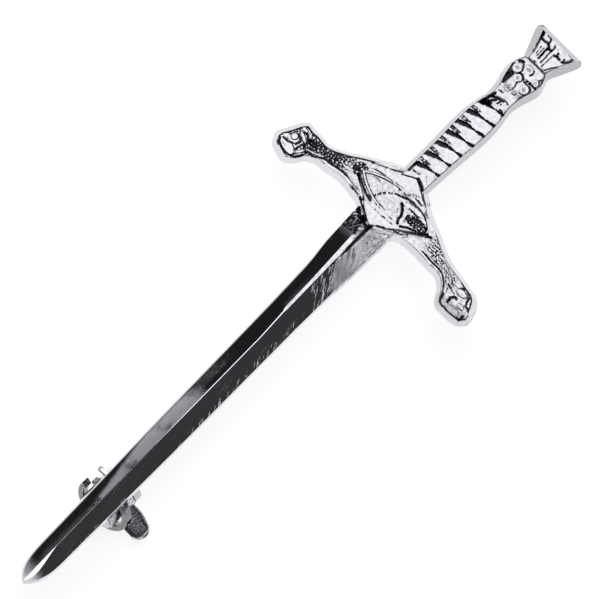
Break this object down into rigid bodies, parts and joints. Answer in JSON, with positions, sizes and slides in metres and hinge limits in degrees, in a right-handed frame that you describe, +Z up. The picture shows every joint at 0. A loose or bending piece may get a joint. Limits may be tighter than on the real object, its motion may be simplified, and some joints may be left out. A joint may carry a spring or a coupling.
{
  "type": "kilt pin",
  "caption": "Cast kilt pin shaped as a claymore with ridged blade, swept crossguard, ribbed grip and thistle pommel; a straight stem and a turning safety catch behind.",
  "frame": {"origin": "half way along the part on the line of the blade, within 0.3 mm of the middle of the part's box, on the surface that the hinge's ears and the catch's ring stand on", "axes": "+X along the sword from the blade's point to the thistle, +Y across the sword along the crossguard, +Z up out of the sword's face"},
  "size_m": [0.1, 0.0345, 0.0108],
  "materials": {
    "plated_casting": "bright plated casting with a brushed blade and dark recesses",
    "plated_catch": "bright plated sheet",
    "pin_steel": "bright drawn wire"
  },
  "bodies": {
    "brooch": {"sword": "plated_casting", "pin_stem": "pin_steel"},
    "catch": {"catch_roller": "plated_catch"}
  },
  "joints": [
    {"name": "catch_turn", "type": "hinge", "parent": "brooch", "child": "catch", "pos_m": [-0.0332, 0, 0.00396], "axis": [1, 0, 0], "range_deg": [0, 90]}
  ]
}
